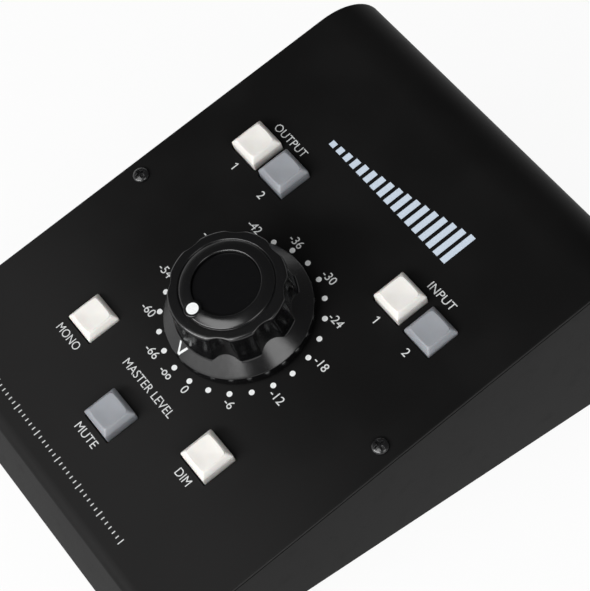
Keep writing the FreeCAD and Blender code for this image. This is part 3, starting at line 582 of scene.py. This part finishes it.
class MONITOR_OT_fixings(bpy.types.Operator):
    """Finishes the screws, nuts and feet of the case"""
    bl_idname = "monitor.fixings"
    bl_label = "Screws and feet"

    def execute(self, context):
        black = polished_moulding("black_screw", (0.007, 0.007, 0.0075), 0.24)
        zinc = plated_metal("zinc_steel", (0.55, 0.55, 0.53), 0.32)
        repaint(black, "rear_screws")
        self.make_cover_screws(context.scene.monitor_fixings, black)
        repaint(zinc, "foot_screws", "foot_nuts", "cover_nuts", "rear_nuts")
        repaint(plain_moulding("rubber_black", (0.018, 0.018, 0.018), 0.72), "rubber_feet")
        return {"FINISHED"}

    def make_cover_screws(self, look, material):
        """Domed heads with a cross recess on the panel, and their shanks."""
        head, corner, band = look.head_radius, 0.1 * MM, 0.4 * MM
        profile = [(look.shank_radius, -look.shank_length), (look.shank_radius, 0.0), (head - corner, 0.0)]
        profile += [(head, corner), (head, band)]
        plain = len(profile)
        dome = look.head_height - band - 0.02 * MM
        steps, past_end = 34, 0.6
        for k in range(1, steps + 1):
            out = math.cos(math.pi / 2 * k / (steps + past_end))
            profile.append((head * out, band + dome * math.sqrt(1 - out * out)))
        bm = bmesh.new()
        for side in (-1, 1):
            rings = []
            for row, (radius, height) in enumerate(profile):
                depth = look.recess_depth if row >= plain else 0.0
                rings.append([
                    (x + side * look.column, y + look.row, z - self.recess(look, x, y) * depth)
                    for x, y, z in circle(radius, height, 96)
                ])
            skin_rings(rings, bm)
        piece = finish_piece("pan_head_screws", bm, "case", material, PANEL, smooth_to=60)
        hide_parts("cover_screws")

    def recess(self, look, x, y):
        """Share of the recess's depth at a place on a head: 1 in the cross and 0 outside it."""
        half, wide = look.recess_length / 2, look.recess_width / 2
        arms = min(max(abs(x) - half, abs(y) - wide), max(abs(y) - half, abs(x) - wide))
        return 1.0 - soft_step(-0.10 * MM, 0.12 * MM, arms)


class MONITOR_OT_knob(bpy.types.Operator):
    """Models the fluted, skirted level knob with its dot and pointer"""
    bl_idname = "monitor.knob"
    bl_label = "Level knob"

    def execute(self, context):
        look = context.scene.monitor_knob
        ink = context.scene.monitor_print.ink
        black = polished_moulding("black_knob", look.black, look.roughness)
        white = printed_ink("white_marking", shade(ink, 1.4))
        self.make_body(look, black)
        self.make_dot_seat(look, black)
        self.make_pointer(look, printed_ink("pointer_ink", shade(ink, 1.1)))
        repaint(white, "knob_index_dot")
        repaint(polished_moulding("disc_black", shade(look.black, 1.1), 0.24, gloss=0.25), "knob_cap_disc")
        return {"FINISHED"}

    def cone_height(self, look, radius):
        """Height of the skirt's cone at a radius, also where the flutes carry it on inwards."""
        run = look.skirt_radius - look.rim_edge - look.body_foot_radius
        slope = (look.body_foot_height - look.rim_height) / run
        return look.body_foot_height + (look.body_foot_radius - radius) * slope

    def flute_reach(self, look, turn):
        """Distance from the axis to the nearest flute's wall at a turn from the pointer."""
        sector = 2 * math.pi / look.sectors
        nearest = round(turn / sector)
        if nearest % look.sectors == 0:
            return math.inf
        off = turn - nearest * sector
        centre = look.flute_depth_radius + look.flute_radius
        across = abs(centre * math.sin(off))
        half, steepness = look.flute_radius * 0.999, 4
        if across >= half:
            return centre * math.cos(off) + (across - half) * steepness
        return centre * math.cos(off) - math.sqrt(look.flute_radius ** 2 - across ** 2)

    def skirt_outline(self, look):
        """From the hollow underside over the rim and up the cone."""
        wall, inner_corner, lip, outer_corner = 2.0 * MM, 0.5 * MM, 0.3 * MM, 0.4 * MM
        well = look.skirt_radius - wall
        ceiling = look.rim_height - wall
        gap, rim = look.skirt_gap, look.rim_edge
        rise_per_metre = self.cone_height(look, 0.0) - self.cone_height(look, 1.0)
        slope = math.degrees(math.atan(rise_per_metre))
        hub = 10.0 * MM
        points = [(hub, ceiling), (well - inner_corner, ceiling)]
        points += [(well, ceiling - inner_corner), (well, gap + lip)]
        points += arc((well + lip, gap + lip), lip, 180, 270, 3)
        points += arc((look.skirt_radius - outer_corner, gap + outer_corner), outer_corner, 270, 360, 4)
        points.append((look.skirt_radius, look.rim_height - 2 * rim))
        points += arc((look.skirt_radius - rim, look.rim_height - rim * 1.3), rim, 0, 90 - slope, 5)
        return points + line(points[-1], (look.body_foot_radius, look.body_foot_height), 8)[:-1]

    def body_outline(self, look):
        """The fluted wall and the rounded top edge, each point with its share of the flutes' press."""
        foot, foot_height = look.body_foot_radius, look.body_foot_height
        edge = look.body_top_edge
        points = [(foot, foot_height, k / 10) for k in range(11)]
        steps, bend = 28, 1.3
        for k in range(1, steps + 1):
            t = k / steps
            height = foot_height + (look.body_top - edge - foot_height) * t ** bend
            points.append((foot + (look.body_top_radius - foot) * t, height, 1.0))
        corner = (look.body_top_radius - edge, look.body_top - edge)
        return points + [(*point, 1.0) for point in arc(corner, edge, 4, 82, 8, first=1)]

    def top_outline(self, look):
        """The flat top, a fine groove, the crowned ring and the recess."""
        groove = look.ring_radius + 0.62 * MM
        flat_start = (look.body_top_radius - look.body_top_edge, look.body_top)
        points = line(flat_start, (groove, look.body_top + 0.15 * MM), 6)
        groove_shape = ((0.12, 0.11), (0.22, 0.0), (0.28, -0.16), (0.42, -0.24), (0.56, -0.16), (0.62, 0.0))
        points += [(groove - inset * MM, look.body_top + rise * MM) for inset, rise in groove_shape]
        edge, fillet = 0.45 * MM, 0.06 * MM
        outer, inner = look.ring_radius - fillet, look.recess_radius + edge
        low, crest = look.body_top + 0.25 * MM, look.ring_top - 0.02 * MM
        points.append((outer, low - fillet))
        steps = 14
        for k in range(1, steps + 1):
            t = k / steps
            points.append((outer + (inner - outer) * t, low + (crest - low) * math.sin(math.pi / 2 * t)))
        points += arc((inner, crest - edge), edge, 90, 180, 6, first=1)
        floor = look.recess_floor
        points += [(look.recess_radius, floor + 0.25 * MM), (look.recess_radius, floor)]
        return points + [(look.recess_radius - 1.0 * MM, floor), (1.0 * MM, floor)]

    def make_body(self, look, material):
        """Rings of points round the axis, pressed in by the flutes above the skirt."""
        steps = 360
        flute_edge, foot_fillet = 0.9 * MM, 0.6 * MM
        notch_reach, notch = 0.9 * MM, 0.35 * MM
        outline = self.skirt_outline(look) + self.body_outline(look) + self.top_outline(look)
        rings = []
        for radius, height, *press in outline:
            ring = []
            for k in range(steps):
                turn = 2 * math.pi * k / steps
                r, z = radius, height
                if press:
                    r += (soft_least(radius, self.flute_reach(look, turn), flute_edge) - radius) * press[0]
                    on_cone = self.cone_height(look, r)
                    z = max(height, on_cone)
                    if height > look.body_foot_height:
                        z = -soft_least(-height, -on_cone, foot_fillet)
                if radius > look.skirt_radius - notch_reach and k in (0, 1, steps - 1):
                    r -= notch
                angle = turn - math.pi / 2
                ring.append((r * math.cos(angle), r * math.sin(angle), z))
            rings.append(ring)
        bm = skin_rings(rings)
        piece = finish_piece("fluted_knob_body", bm, "level_knob", material, PANEL)
        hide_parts("knob")

    def make_dot_seat(self, look, material):
        """Round pad with a soft edge that carries the white dot."""
        edge = 0.35 * MM
        profile = [(look.dot_seat, look.recess_floor - 0.2 * MM), (look.dot_seat, look.ring_top - edge)]
        profile += arc((look.dot_seat - edge, look.ring_top - edge), edge, 0, 90, 5, first=1)
        rings = [circle(radius, height, 64, (0.0, -look.dot_circle)) for radius, height in profile]
        bm = skin_rings(rings)
        finish_piece("knob_dot_seat", bm, "level_knob", material, PANEL, smooth_to=40)

    def make_pointer(self, look, material):
        """White V laid on the skirt's cone."""
        half, stroke, near, far = 1.75 * MM, 0.8 * MM, 20.95 * MM, 24.2 * MM
        proud, sunk = 0.05 * MM, -0.3 * MM
        steps = 10
        bm = bmesh.new()
        for side in (-1, 1):
            for k in range(steps):
                for vert in bmesh.ops.create_cube(bm, size=1.0)["verts"]:
                    t = (k + (0.5 + vert.co.y)) / steps
                    x = side * half * (1 - t) + vert.co.x * stroke
                    y = -(near + (far - near) * t)
                    surface = self.cone_height(look, math.hypot(x, y))
                    vert.co = Vector((x, y, surface + (proud if vert.co.z > 0 else sunk)))
        bmesh.ops.remove_doubles(bm, verts=bm.verts, dist=1e-6)
        piece = finish_piece(
            "knob_pointer_v", bm, "level_knob", material, PANEL, smooth=False)
        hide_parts("knob_pointer_mark")


class MONITOR_OT_buttons(bpy.types.Operator):
    """Models the seven square key caps"""
    bl_idname = "monitor.buttons"
    bl_label = "Button caps"

    def execute(self, context):
        look = context.scene.monitor_buttons
        white = cap_plastic("white_cap", look.white, 0.40)
        grey = cap_plastic("grey_cap", look.grey, 0.38)
        slots = {part["node"]: part["material_slot"] for part in frame["record"]["subparts"]}
        for body in [body for body in frame["bodies"] if body.startswith("button_")]:
            name = body[len("button_"):]
            node = "cap_" + name
            low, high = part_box(node)
            middle = PANEL.inverted() @ ((low + high) / 2)
            height_middle = (look.shoulder + look.chamfer_rise - look.depth_below) / 2
            place = PANEL @ Matrix.Translation((middle.x, middle.y, middle.z - height_middle))
            material = white if slots[node] == "white_cap" else grey
            piece = finish_piece("key_cap_" + name, self.cap(look), body, material, place)
            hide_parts(node)
        plungers = [node for node in frame["nodes"] if node.startswith("plunger_")]
        repaint(plain_moulding("plunger_nylon", (0.7, 0.7, 0.66), 0.5), *plungers)
        return {"FINISHED"}

    def ring(self, half, corner, bow, height, dish=None):
        """Points round a square whose sides bow out and whose corners are round."""
        per_side, per_corner = 12, 6
        reach = half - corner
        local = []
        for k in range(per_side):
            along = -1 + 2 * k / per_side
            local.append((half - bow * along * along, reach * along))
        local += [(reach + x, reach + y) for x, y in arc((0.0, 0.0), corner - bow, 0, 90, per_corner)[:-1]]
        points = []
        for quarter in range(4):
            turn = Matrix.Rotation(math.pi / 2 * quarter, 3, "Z")
            points += [turn @ Vector((x, y, dish(x, y, height) if dish else height)) for x, y in local]
        return points

    def cap(self, look):
        """Skirt, rounded shoulder, sloping border, rounded rim and shallow dish."""
        half, corner, edge = look.side / 2, look.corner, look.edge
        top = look.shoulder + look.chamfer_rise
        slope = math.hypot(look.chamfer_run, look.chamfer_rise)
        start = edge / slope

        def border(t):
            """Half side, corner and bow at a share t of the way up the border."""
            return half - look.chamfer_run * t, corner + (look.rim_corner - corner) * t, look.rim_bow * t

        def dish(x, y, height):
            """Height of the cap's top, hollow in the middle, where it is lower than a ring's height."""
            power, lip = look.dish_square, 0.10 * MM
            out = (abs(x) ** power + abs(y) ** power) ** (1 / power) / look.dish_reach
            return soft_least(height, top - look.dish_depth * (1 - out * out), lip)

        # Each rounding is drawn by a few rings, whose insets and drops are shares of its radius
        skirt = ((0.0, -look.depth_below), (0.0, look.shoulder - edge), (0.06, look.shoulder - edge * 0.35))
        rings = [self.ring(half - edge * inset, corner, 0.0, height) for inset, height in skirt]
        for t, inset in ((start * 0.4, 0.22), (start, 0.04), (0.35, 0.0), (0.65, 0.0), (1 - start, 0.0)):
            h, c, b = border(t)
            rings.append(self.ring(h - edge * inset, c, b, look.shoulder + look.chamfer_rise * t))
        h, c, b = border(1.0)
        rim = h + look.chamfer_run / slope * edge * 0.5
        for inset, drop in ((0.30, 0.30), (0.62, 0.10), (1.05, 0.02)):
            rings.append(self.ring(rim - inset * edge, c, b, top - drop * edge, dish))
        for part in (0.97, 0.93, 0.89, 0.85, 0.80, 0.74, 0.66, 0.54, 0.40, 0.26, 0.12, 0.03):
            rings.append(self.ring(h * part, c * part, b * part, top, dish))
        return skin_rings(rings)


class MONITOR_OT_printing(bpy.types.Operator):
    """Prints the dial, the words by the buttons and the level graphic"""
    bl_idname = "monitor.printing"
    bl_label = "Printing"

    def execute(self, context):
        look = context.scene.monitor_print
        ink = printed_ink("panel_ink", look.ink)
        pale = printed_ink("pale_ink", look.pale_ink)
        self.make_dots(look, printed_ink("dot_ink", shade(look.ink, 1.25)))
        self.make_numbers(look, ink)
        self.make_words(look, ink)
        self.make_level_graphic(look, pale, ink)
        return {"FINISHED"}

    def make_dots(self, look, ink):
        """Twenty-four dots, one for each step of the switch."""
        first, step = -75, 15
        bm = bmesh.new()
        for k in range(24):
            angle = math.radians(first + step * k)
            place = (look.dial_radius * math.cos(angle), look.dial_radius * math.sin(angle), 0.0)
            bmesh.ops.create_cone(
                bm, cap_ends=True, segments=36, radius1=look.dot_radius, radius2=look.dot_radius,
                depth=2 * look.thickness, matrix=Matrix.Translation(place),
            )
        self.lay("dial_dots", bm, ink)

    def lay(self, name, bm, ink):
        """Makes one printed piece on the panel."""
        finish_piece(name, bm, "case", ink, PANEL, smooth=False)

    def add_bar(self, bm, look, x, y, width, height, turn=0):
        """Adds a flat bar; its place and size are in millimetres and its turn in degrees."""
        place = Matrix.Translation((x * MM, y * MM, 0.0)) @ Matrix.Rotation(math.radians(turn), 4, "Z")
        size = Matrix.Diagonal((width * MM, height * MM, 2 * look.thickness, 1.0))
        bmesh.ops.create_cube(bm, size=1.0, matrix=place @ size)

    def lettering(self, bm, look, words, x, y, height, width=None, bold=0.0):
        """Adds one word, centred on a place in the panel's frame, with capitals of a given height."""
        slab, capital = 0.01, 0.70
        curve = bpy.data.curves.new("word", "FONT")
        curve.body = words
        curve.size = 1.0
        curve.offset = bold
        curve.extrude = slab
        curve.resolution_u = 5
        holder = add_object("word", curve)
        mesh = bpy.data.meshes.new_from_object(holder.evaluated_get(bpy.context.evaluated_depsgraph_get()))
        bpy.data.objects.remove(holder)
        bpy.data.curves.remove(curve)
        across = [vert.co.x for vert in mesh.vertices]
        upright = [vert.co.y for vert in mesh.vertices]
        scale = height / capital
        stretch = scale if width is None else width / (max(across) - min(across))
        middle = ((max(across) + min(across)) / 2, (max(upright) + min(upright)) / 2, 0.0)
        mesh.transform(
            Matrix.Translation((x * MM, y * MM, 0.0))
            @ Matrix.Diagonal((stretch, scale, look.thickness / slab, 1.0))
            @ Matrix.Translation(-Vector(middle))
        )
        bm.from_mesh(mesh)
        bpy.data.meshes.remove(mesh)

    def make_numbers(self, look, ink):
        """Decibel numbers round the dial."""
        numbers = (
            ("0", 8.4, -29.4), ("-6", 22.0, -21.5), ("-12", 30.6, -8.6), ("-18", 31.2, 8.9),
            ("-24", 22.5, 21.8), ("-30", 9.0, 29.6), ("-36", -8.7, 29.6), ("-42", -22.5, 22.6),
            ("-48", -29.7, 9.1), ("-54", -30.1, -9.2), ("-60", -22.5, -21.8), ("-66", -9.5, -29.6),
        )
        bm = bmesh.new()
        for words, x, y in numbers:
            self.lettering(bm, look, words, x, y, look.cap_height)
        self.lettering(bm, look, "-oo", -0.4, -30.9, look.cap_height * 0.95, 4.9 * MM, bold=0.01)
        self.lay("dial_numbers", bm, ink)

    def make_words(self, look, ink):
        """Plain function words and selector numbers."""
        words = (
            ("OUTPUT", -40.3, 51.5, 16.0), ("INPUT", 38.8, 52.2, 11.9), ("MONO", -32.9, -47.5, 11.3),
            ("DIM", 32.0, -47.2, 6.2), ("MUTE", -0.4, -62.7, 10.3), ("MASTER LEVEL", 0.0, -38.0, 25.9),
        )
        selector_row = 31.4
        bm = bmesh.new()
        for text, x, y, width in words:
            self.lettering(bm, look, text, x, y, look.cap_height, width * MM, bold=-0.004)
        for text, x in (("1", -45.6), ("2", -30.7), ("1", 31.1), ("2", 46.1)):
            self.lettering(bm, look, text, x, selector_row, look.cap_height)
            if text == "1":
                self.add_bar(bm, look, x - 0.42, selector_row + 1.15, 0.34, 1.15, turn=-50)
        self.lay("button_words", bm, ink)

    def make_level_graphic(self, look, pale, ink):
        """Row of rising level bars at the rear of the panel, and a fine rule at the front."""
        bm = bmesh.new()
        bars, reach, foot, lowest, rise, bend, filled = 17, 31.0, 60.0, 2.2, 11.0, 1.25, 0.62
        pitch = 2 * reach / bars
        for k in range(bars):
            height = lowest + rise * (k / (bars - 1)) ** bend
            self.add_bar(bm, look, (k + 0.5) * pitch - reach, foot + height / 2, pitch * filled, height)
        self.lay("level_bars", bm, pale)
        bm = bmesh.new()
        ticks, reach, row, stroke, tall, short = 37, 36.0, -74.6, 0.35, 2.4, 1.3
        for k in range(ticks):
            x = 2 * reach * k / (ticks - 1) - reach
            self.add_bar(bm, look, x, row, stroke, short if k % 6 else tall)
        self.lay("front_rule", bm, ink)


class MONITOR_OT_sockets(bpy.types.Operator):
    """Finishes the jack sockets on the rear wall"""
    bl_idname = "monitor.sockets"
    bl_label = "Jack sockets"

    def execute(self, context):
        repaint(plain_moulding("component_black", (0.02, 0.02, 0.022), 0.42), "output_jacks", "input_jacks")
        repaint(plated_metal("nut_plating", (0.60, 0.60, 0.58), 0.24), "jack_nuts", "jack_washers")
        return {"FINISHED"}


class MONITOR_OT_insides(bpy.types.Operator):
    """Finishes the pieces inside the case"""
    bl_idname = "monitor.insides"
    bl_label = "Inside pieces"

    def execute(self, context):
        repaint(
            plated_metal("switch_steel", (0.55, 0.55, 0.53), 0.30),
            "switch_housing", "switch_nut", "switch_washer", "switch_shaft", "detent_wheel", "detent_ball",
            "detent_spring", "wafer_spacers", "tie_rods", "tie_rod_nuts", "button_springs",
            "board_standoffs", "board_screws", "knob_set_screws",
        )
        repaint(plated_metal("brass", (0.72, 0.55, 0.25), 0.28), "knob_bush", "switch_bush")
        repaint(board_resist("board_green", (0.02, 0.12, 0.05)), "control_board", "jack_board")
        black = plain_moulding("chip_black", (0.02, 0.02, 0.022), 0.45)
        repaint(black, "level_resistors", "ribbon_headers")
        repaint(plain_moulding("switch_body", (0.10, 0.10, 0.11), 0.5), "button_housings")
        wafers = [node for node in frame["nodes"] if node.startswith("wafer_") and node != "wafer_spacers"]
        repaint(plain_moulding("wafer_resin", (0.25, 0.14, 0.05), 0.5), *wafers)
        repaint(ribbon_vinyl("ribbon_grey", (0.35, 0.35, 0.36)), "ribbon_cable")
        return {"FINISHED"}


class MONITOR_OT_stage(bpy.types.Operator):
    """Sets the floor, the even light, the lamps and the camera"""
    bl_idname = "monitor.stage"
    bl_label = "Stage"

    def execute(self, context):
        look = context.scene.monitor_stage
        self.make_floor(look)
        self.make_world(context, look)
        self.make_lamps(look)
        camera = bpy.data.cameras.new("camera")
        camera.lens = look.lens
        camera.sensor_width = 36.0
        camera.clip_start, camera.clip_end = 0.01, 50.0
        holder = add_object("camera", camera)
        holder.location = look.camera_place
        holder.rotation_euler = look.camera_turn
        context.scene.camera = holder
        context.scene.view_settings.view_transform = "Standard"
        return {"FINISHED"}

    def make_floor(self, look):
        """Plain pale floor that curves up all round, seen as white and keeping the object's soft shadow."""
        profile = [(look.floor_radius * k / 4, 0.0) for k in (1, 2, 3, 4)]
        profile += arc((look.floor_radius, look.sweep_radius), look.sweep_radius, -90, -15, 12, first=1)
        bm = skin_rings([circle(radius, height, 96) for radius, height in profile], close_end=False)
        for face in bm.faces:
            face.smooth = True
            if face.normal.z < 0:
                face.normal_flip()
        finish = Finish("floor_paper", {"Roughness": 0.9, "Specular IOR Level": 0.1})
        tooth = finish.noise(0.004, detail=2.0, roughness=0.5)
        paper = finish.blend(tooth, shade(look.floor, 0.99), look.floor)
        finish.tree.links.new(paper.socket, finish.shader.inputs["Base Color"])
        seen = finish.add("ShaderNodeLightPath", {}, {}, "Is Camera Ray")
        for kind in ("Is Glossy Ray", "Is Transmission Ray"):
            seen = seen.at_least(finish.add("ShaderNodeLightPath", {}, {}, kind))
        glow = finish.add("ShaderNodeEmission", {}, {"Color": (1.0, 1.0, 1.0, 1.0), "Strength": 1.0})
        lit = Field(finish, finish.shader.outputs[0])
        mixed = finish.add("ShaderNodeMixShader", {}, {0: seen * look.floor_white, 1: lit, 2: glow})
        finish.tree.links.new(mixed.socket, finish.output.inputs["Surface"])
        add_mesh("floor", bm, finish.material)

    def make_world(self, context, look):
        """An even dim light from all round."""
        world = bpy.data.worlds.new("studio")
        world.use_nodes = True
        light = world.node_tree.nodes["Background"].inputs
        light["Color"].default_value = (1.0, 1.0, 1.0, 1.0)
        light["Strength"].default_value = look.world_light
        context.scene.world = world

    def make_lamps(self, look):
        """Soft boxes, each given by the way from the knob to it, its distance, size, roll and power."""
        lamps = (
            ("fill_lamp", (0.03, -0.63, 0.775), 1.70, 1.20, 0.80, 0, look.fill_power),
            ("key_lamp", (0.777, -0.037, 0.626), 1.50, 0.64, 0.66, 0, look.key_power),
            ("front_lamp", (0.13, -0.885, 0.40), 1.50, 1.66, 0.32, 17, look.front_power),
        )
        for name, way, distance, width, height, roll, power in lamps:
            data = bpy.data.lights.new(name, "AREA")
            data.shape = "RECTANGLE"
            data.size, data.size_y = width, height
            data.energy = power
            lamp = add_object(name, data)
            toward = Vector(way).normalized()
            lamp.location = KNOB_FOOT + toward * distance
            lamp.rotation_mode = "QUATERNION"
            turn = Quaternion((0, 0, 1), math.radians(roll))
            lamp.rotation_quaternion = toward.to_track_quat("Z", "Y") @ turn
            lamp.visible_camera = False


class MONITOR_PT_panel(bpy.types.Panel):
    """Lists the steps that dress the monitor controller"""
    bl_idname = "MONITOR_PT_panel"
    bl_label = "Monitor controller"
    bl_space_type = "VIEW_3D"
    bl_region_type = "UI"
    bl_category = "Monitor"

    def draw(self, context):
        for step in STEPS:
            self.layout.operator(step.bl_idname)
        for look, group in LOOKS.items():
            box = self.layout.box()
            for name in group.__annotations__:
                box.prop(getattr(context.scene, look), name)


STEPS = (
    MONITOR_OT_case, MONITOR_OT_fixings, MONITOR_OT_knob, MONITOR_OT_buttons, MONITOR_OT_printing,
    MONITOR_OT_sockets, MONITOR_OT_insides, MONITOR_OT_stage,
)
LOOKS = {
    "monitor_case": CaseLook,
    "monitor_fixings": FixingsLook,
    "monitor_knob": KnobLook,
    "monitor_buttons": ButtonLook,
    "monitor_print": PrintLook,
    "monitor_stage": StageLook,
}


def register():
    for group in LOOKS.values():
        bpy.utils.register_class(group)
    for step in (*STEPS, MONITOR_PT_panel):
        bpy.utils.register_class(step)
    for name, group in LOOKS.items():
        setattr(bpy.types.Scene, name, bpy.props.PointerProperty(type=group))


def unregister():
    for name in LOOKS:
        delattr(bpy.types.Scene, name)
    for item in (MONITOR_PT_panel, *reversed(STEPS), *LOOKS.values()):
        bpy.utils.unregister_class(item)


def main():
    """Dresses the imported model, one operator after another."""
    register()
    for step in STEPS:
        getattr(bpy.ops.monitor, step.bl_idname.split(".")[1])()


if __name__ == "__main__":
    main()
